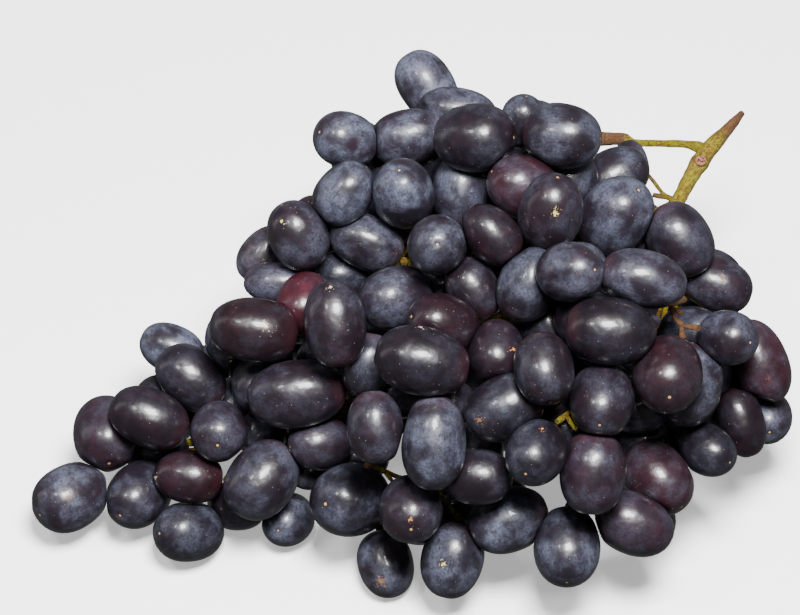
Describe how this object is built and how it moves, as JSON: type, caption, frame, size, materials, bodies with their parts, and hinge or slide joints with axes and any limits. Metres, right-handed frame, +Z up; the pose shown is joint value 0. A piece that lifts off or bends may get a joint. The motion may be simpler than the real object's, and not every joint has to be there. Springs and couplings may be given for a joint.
{
  "type": "bunch of grapes",
  "caption": "Full bunch of oval dark grapes lying on its side, packed round branching stems, with the forked end of the stem rising at one side",
  "frame": {"origin": "middle of the bunch's footprint, on the table that it lies on", "axes": "+X from the tip of the bunch towards its stem, +Z up from the table"},
  "size_m": [0.2296, 0.176, 0.1083],
  "materials": {
    "grape_skin": "satin",
    "grape_red": "satin",
    "stem": "matte"
  },
  "bodies": {
    "root": {"berries_crown": "grape_skin", "berries_front": "grape_skin", "berries_left": "grape_skin", "berries_low": "grape_skin", "berries_middle": "grape_skin", "berries_middle_2": "grape_skin", "berries_right": "grape_skin", "berries_shoulder": "grape_skin", "berries_shoulder_2": "grape_skin", "berries_tip": "grape_skin", "berries_tip_2": "grape_skin", "berries_wing": "grape_skin", "berry_red": "grape_red", "stem": "stem"}
  },
  "joints": []
}
